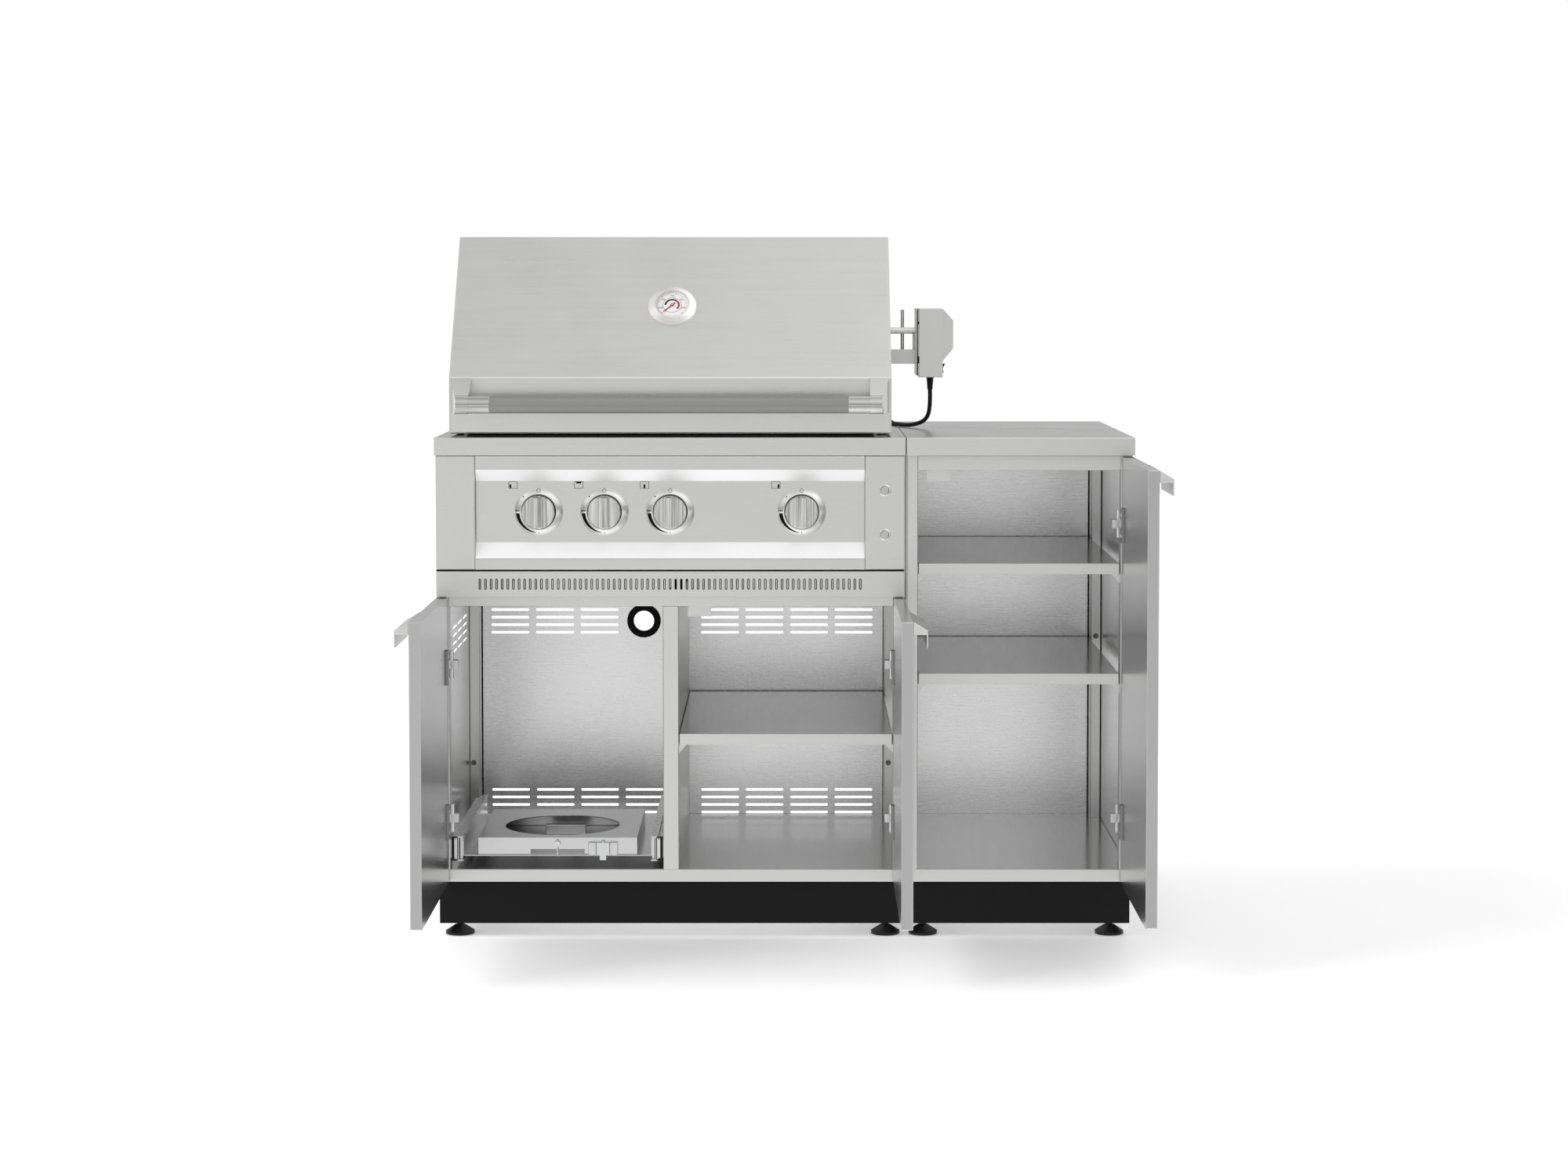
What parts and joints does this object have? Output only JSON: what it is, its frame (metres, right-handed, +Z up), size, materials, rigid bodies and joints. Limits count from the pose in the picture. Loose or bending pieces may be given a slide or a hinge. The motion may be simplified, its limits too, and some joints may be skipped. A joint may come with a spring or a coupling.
{
  "type": "outdoor kitchen island",
  "caption": "Outdoor kitchen island: a gas grill with a hinged lid over a doored cabinet with a bottle tray, beside a shelved storage cabinet, with a motor-driven spit.",
  "frame": {"origin": "on the ground, at the middle of the island's width and depth with its doors open", "axes": "+Z up, -Y towards the cook, +X towards the storage cabinet"},
  "size_m": [1.291, 1.029, 1.26],
  "materials": {
    "brushed_steel": "brushed",
    "zinc_steel": "zinc plated",
    "bright_steel": "polished",
    "burner_steel": "mill finish",
    "black_paint": "satin",
    "red_paint": "matt",
    "black_plastic": "matt",
    "black_rubber": "matt"
  },
  "bodies": {
    "island": {"left_worktop": "brushed_steel", "right_worktop": "brushed_steel", "side_panels": "brushed_steel", "frame_posts": "brushed_steel", "frame_rails": "brushed_steel", "centre_divider": "brushed_steel", "cabinet_floors": "brushed_steel", "back_panels": "brushed_steel", "cable_grommet": "black_rubber", "shelves": "brushed_steel", "shelf_clips": "zinc_steel", "plinths": "black_paint", "levelling_feet": "black_plastic", "control_panel": "brushed_steel", "side_fillers": "brushed_steel", "vent_panel": "brushed_steel", "control_bezels": "bright_steel", "gas_manifold": "zinc_steel", "main_burners": "burner_steel", "firebox": "burner_steel", "grease_tray": "burner_steel", "flame_tamers": "burner_steel", "cooking_grates": "burner_steel", "grill_upstand": "burner_steel", "rear_burner": "burner_steel", "rotisserie_bracket": "zinc_steel", "motor_housing": "brushed_steel", "strain_relief": "black_rubber", "rotisserie_cord": "black_rubber", "rotisserie_cord_coil": "black_rubber", "mains_plug": "black_rubber", "hinge_brackets": "zinc_steel", "tray_outer_rails": "zinc_steel"},
    "lid": {"lid_shell": "brushed_steel", "lid_end_panels": "burner_steel", "lid_handle_bar": "brushed_steel", "lid_handle_brackets": "bright_steel", "thermometer_case": "bright_steel"},
    "needle": {"thermometer_needle": "red_paint"},
    "door_left": {"left_door": "brushed_steel", "left_door_handle": "brushed_steel", "left_door_hinges": "zinc_steel"},
    "door_middle": {"middle_door": "brushed_steel", "middle_door_handle": "brushed_steel", "middle_door_hinges": "zinc_steel"},
    "door_right": {"right_door": "brushed_steel", "right_door_handle": "brushed_steel", "right_door_hinges": "zinc_steel"},
    "knob_a": {"knob_left_burner": "bright_steel"},
    "knob_b": {"knob_rear_burner": "bright_steel"},
    "knob_c": {"knob_centre_burner": "bright_steel"},
    "knob_d": {"knob_right_burner": "bright_steel"},
    "button_a": {"upper_button": "bright_steel"},
    "button_b": {"lower_button": "bright_steel"},
    "spit_rod": {"spit": "bright_steel"},
    "switch": {"motor_switch": "black_plastic"},
    "rails": {"tray_middle_rails": "zinc_steel"},
    "tray": {"tank_tray": "zinc_steel"},
    "latch": {"tray_latch": "zinc_steel"},
    "screw": {"thumb_screw": "zinc_steel"}
  },
  "joints": [
    {"name": "left_door_hinge", "type": "hinge", "parent": "island", "child": "door_left", "pos_m": [-0.6115, -0.1085, 0.355], "axis": [0, 0, -1], "range_deg": [-90, 5]},
    {"name": "middle_door_hinge", "type": "hinge", "parent": "island", "child": "door_middle", "pos_m": [0.2045, -0.1085, 0.355], "axis": [0, 0, 1], "range_deg": [-90, 5]},
    {"name": "right_door_hinge", "type": "hinge", "parent": "island", "child": "door_right", "pos_m": [0.6115, -0.1085, 0.481], "axis": [0, 0, 1], "range_deg": [-90, 5]},
    {"name": "lid_hinge", "type": "hinge", "parent": "island", "child": "lid", "pos_m": [-0.2035, 0.3695, 0.955], "axis": [-1, 0, 0], "range_deg": [0, 75]},
    {"name": "tray_thumb_screw", "type": "hinge", "parent": "tray", "child": "screw", "pos_m": [-0.4085, -0.0775, 0.1688], "axis": [0, -1, 0], "continuous": true},
    {"name": "spit_turn", "type": "hinge", "parent": "island", "child": "spit_rod", "pos_m": [-0.2035, 0.1775, 1.087], "axis": [1, 0, 0], "continuous": true},
    {"name": "motor_switch_rock", "type": "hinge", "parent": "island", "child": "switch", "pos_m": [0.292, 0.1775, 1.0167], "axis": [0, -1, 0], "range_deg": [0, 20]},
    {"name": "thermometer_turn", "type": "hinge", "parent": "lid", "child": "needle", "pos_m": [-0.2035, 0.0035, 1.1335], "axis": [0, 0.7875, -0.6163], "range_deg": [0, 250]},
    {"name": "tray_slide", "type": "slide", "parent": "island", "child": "tray", "axis": [0, -1, 0], "range_m": [0, 0.3]},
    {"name": "tray_rail_slide", "type": "slide", "parent": "island", "child": "rails", "axis": [0, -1, 0], "range_m": [0, 0.15]},
    {"name": "tray_latch_slide", "type": "slide", "parent": "tray", "child": "latch", "axis": [0, 0, 1], "range_m": [0, 0.008], "stiffness_N_per_m": 250, "springref_m": -0.001},
    {"name": "left_burner_knob_turn", "type": "hinge", "parent": "island", "child": "knob_a", "pos_m": [-0.4375, -0.107, 0.7693], "axis": [0, -1, 0], "range_deg": [0, 180]},
    {"name": "rear_burner_knob_turn", "type": "hinge", "parent": "island", "child": "knob_b", "pos_m": [-0.3205, -0.107, 0.7693], "axis": [0, -1, 0], "range_deg": [0, 180]},
    {"name": "centre_burner_knob_turn", "type": "hinge", "parent": "island", "child": "knob_c", "pos_m": [-0.2035, -0.107, 0.7693], "axis": [0, -1, 0], "range_deg": [0, 180]},
    {"name": "right_burner_knob_turn", "type": "hinge", "parent": "island", "child": "knob_d", "pos_m": [0.0305, -0.107, 0.7693], "axis": [0, -1, 0], "range_deg": [0, 180]},
    {"name": "upper_button_press", "type": "slide", "parent": "island", "child": "button_a", "axis": [0, 1, 0], "range_m": [0, 0.0018], "stiffness_N_per_m": 400, "springref_m": -0.001},
    {"name": "lower_button_press", "type": "slide", "parent": "island", "child": "button_b", "axis": [0, 1, 0], "range_m": [0, 0.0018], "stiffness_N_per_m": 400, "springref_m": -0.001}
  ],
  "couplings": [
    {"joint": "tray_rail_slide", "follows": "tray_slide", "ratio": 0.5}
  ]
}
